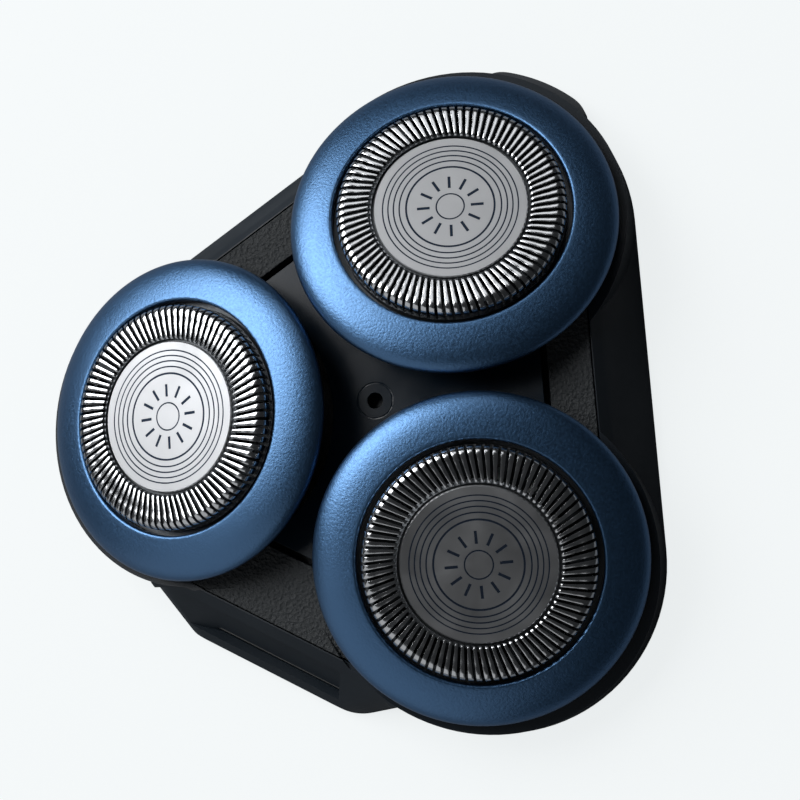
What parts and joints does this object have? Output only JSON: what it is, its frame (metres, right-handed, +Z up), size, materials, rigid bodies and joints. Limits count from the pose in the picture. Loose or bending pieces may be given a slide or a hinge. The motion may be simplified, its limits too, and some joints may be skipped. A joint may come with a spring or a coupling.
{
  "type": "rotary shaver head",
  "caption": "Triangular clip-in shaving head: blue-ringed slotted steel caps over spinning cutters, each head tilting on pins in a dark plastic holder.",
  "frame": {"origin": "mouth of the centre socket, in the plane of the holder's lower rim, under the point between the heads", "axes": "+Z up out of the caps, +Y to the rear head and the rear lip, +X to the right"},
  "size_m": [0.0624, 0.0625, 0.0147],
  "materials": {
    "holder_plastic": "satin moulded, near-black navy",
    "centre_plastic": "smooth satin navy",
    "grained_plastic": "coarse grained dark grey",
    "frame_plastic": "plain moulded dark grey",
    "carrier_plastic": "plain moulded black",
    "screw_steel": "zinc-plated",
    "blue_trim": "satin metallic blue with a fine speckle",
    "cap_steel": "drawn, slotted and polished",
    "disc_steel": "fine blasted, with dark etched lines",
    "cutter_steel": "ground blades",
    "hub_plastic": "natural moulded"
  },
  "bodies": {
    "holder": {"housing": "holder_plastic", "centre_plate": "centre_plastic", "panel_front": "grained_plastic", "panel_left": "grained_plastic", "panel_right": "grained_plastic", "retaining_frame": "frame_plastic", "frame_screws": "screw_steel"},
    "head_rear": {"ring_rear": "blue_trim", "carrier_rear": "carrier_plastic", "retainer_rear": "frame_plastic"},
    "float_rear": {"cap_rear": "cap_steel", "disc_rear": "disc_steel"},
    "spin_rear": {"cutter_rear": "cutter_steel", "hub_rear": "hub_plastic"},
    "head_left": {"ring_left": "blue_trim", "carrier_left": "carrier_plastic", "retainer_left": "frame_plastic"},
    "float_left": {"cap_left": "cap_steel", "disc_left": "disc_steel"},
    "spin_left": {"cutter_left": "cutter_steel", "hub_left": "hub_plastic"},
    "head_right": {"ring_right": "blue_trim", "carrier_right": "carrier_plastic", "retainer_right": "frame_plastic"},
    "float_right": {"cap_right": "cap_steel", "disc_right": "disc_steel"},
    "spin_right": {"cutter_right": "cutter_steel", "hub_right": "hub_plastic"}
  },
  "joints": [
    {"name": "swing_rear", "type": "hinge", "parent": "holder", "child": "head_rear", "pos_m": [0, 0.02307, 0.00498], "axis": [1, 0, 0], "range_deg": [0, 8]},
    {"name": "cap_lift_rear", "type": "slide", "parent": "head_rear", "child": "float_rear", "axis": [0, 0.2639, 0.9646], "range_m": [0, 0.0006]},
    {"name": "cutter_spin_rear", "type": "hinge", "parent": "float_rear", "child": "spin_rear", "pos_m": [0, 0.0185, 0.011], "axis": [0, 0.2639, 0.9646], "continuous": true},
    {"name": "swing_left", "type": "hinge", "parent": "holder", "child": "head_left", "pos_m": [-0.01998, -0.01154, 0.00498], "axis": [-0.5, 0.866, 0], "range_deg": [0, 8]},
    {"name": "cap_lift_left", "type": "slide", "parent": "head_left", "child": "float_left", "axis": [-0.2285, -0.1319, 0.9646], "range_m": [0, 0.0006]},
    {"name": "cutter_spin_left", "type": "hinge", "parent": "float_left", "child": "spin_left", "pos_m": [-0.01602, -0.00925, 0.011], "axis": [-0.2285, -0.1319, 0.9646], "continuous": true},
    {"name": "swing_right", "type": "hinge", "parent": "holder", "child": "head_right", "pos_m": [0.01998, -0.01154, 0.00498], "axis": [-0.5, -0.866, 0], "range_deg": [0, 8]},
    {"name": "cap_lift_right", "type": "slide", "parent": "head_right", "child": "float_right", "axis": [0.2285, -0.1319, 0.9646], "range_m": [0, 0.0006]},
    {"name": "cutter_spin_right", "type": "hinge", "parent": "float_right", "child": "spin_right", "pos_m": [0.01602, -0.00925, 0.011], "axis": [0.2285, -0.1319, 0.9646], "continuous": true}
  ]
}
